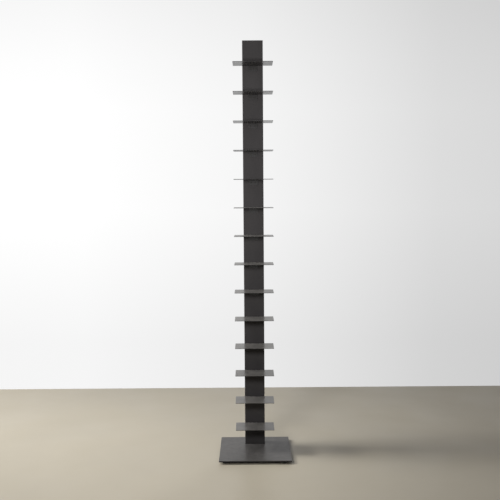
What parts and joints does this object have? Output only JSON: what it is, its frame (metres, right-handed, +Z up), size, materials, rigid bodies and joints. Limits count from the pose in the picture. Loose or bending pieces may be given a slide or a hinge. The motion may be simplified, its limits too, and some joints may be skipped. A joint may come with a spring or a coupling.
{
  "type": "bookcase",
  "caption": "Tall slim bookcase: a steel column on a square foot plate carries thin bent-sheet shelves that hold books lying flat and hide the column.",
  "frame": {"origin": "on the floor, under the centre of the square foot plate", "axes": "+Z up along the column, -Y towards the front where the shelves stand out, +X to the right seen from the front"},
  "size_m": [0.35, 0.35, 2.024],
  "materials": {
    "powder_coated_steel": "fine satin charcoal powder coat",
    "black_screw_steel": "satin black screws",
    "pad_rubber": "matt black rubber"
  },
  "bodies": {
    "root": {"base_plate": "powder_coated_steel", "column": "powder_coated_steel", "column_foot": "powder_coated_steel", "shelf_01": "powder_coated_steel", "shelf_02": "powder_coated_steel", "shelf_03": "powder_coated_steel", "shelf_04": "powder_coated_steel", "shelf_05": "powder_coated_steel", "shelf_06": "powder_coated_steel", "shelf_07": "powder_coated_steel", "shelf_08": "powder_coated_steel", "shelf_09": "powder_coated_steel", "shelf_10": "powder_coated_steel", "shelf_11": "powder_coated_steel", "shelf_12": "powder_coated_steel", "shelf_13": "powder_coated_steel", "shelf_14": "powder_coated_steel", "base_screw_1": "black_screw_steel", "base_screw_2": "black_screw_steel", "base_screw_3": "black_screw_steel", "base_screw_4": "black_screw_steel", "shelf_screw_01_left": "black_screw_steel", "shelf_screw_01_right": "black_screw_steel", "shelf_screw_02_left": "black_screw_steel", "shelf_screw_02_right": "black_screw_steel", "shelf_screw_03_left": "black_screw_steel", "shelf_screw_03_right": "black_screw_steel", "shelf_screw_04_left": "black_screw_steel", "shelf_screw_04_right": "black_screw_steel", "shelf_screw_05_left": "black_screw_steel", "shelf_screw_05_right": "black_screw_steel", "shelf_screw_06_left": "black_screw_steel", "shelf_screw_06_right": "black_screw_steel", "shelf_screw_07_left": "black_screw_steel", "shelf_screw_07_right": "black_screw_steel", "shelf_screw_08_left": "black_screw_steel", "shelf_screw_08_right": "black_screw_steel", "shelf_screw_09_left": "black_screw_steel", "shelf_screw_09_right": "black_screw_steel", "shelf_screw_10_left": "black_screw_steel", "shelf_screw_10_right": "black_screw_steel", "shelf_screw_11_left": "black_screw_steel", "shelf_screw_11_right": "black_screw_steel", "shelf_screw_12_left": "black_screw_steel", "shelf_screw_12_right": "black_screw_steel", "shelf_screw_13_left": "black_screw_steel", "shelf_screw_13_right": "black_screw_steel", "shelf_screw_14_left": "black_screw_steel", "shelf_screw_14_right": "black_screw_steel", "pad_front_left": "pad_rubber", "pad_front_right": "pad_rubber", "pad_back_left": "pad_rubber", "pad_back_right": "pad_rubber"}
  },
  "joints": []
}
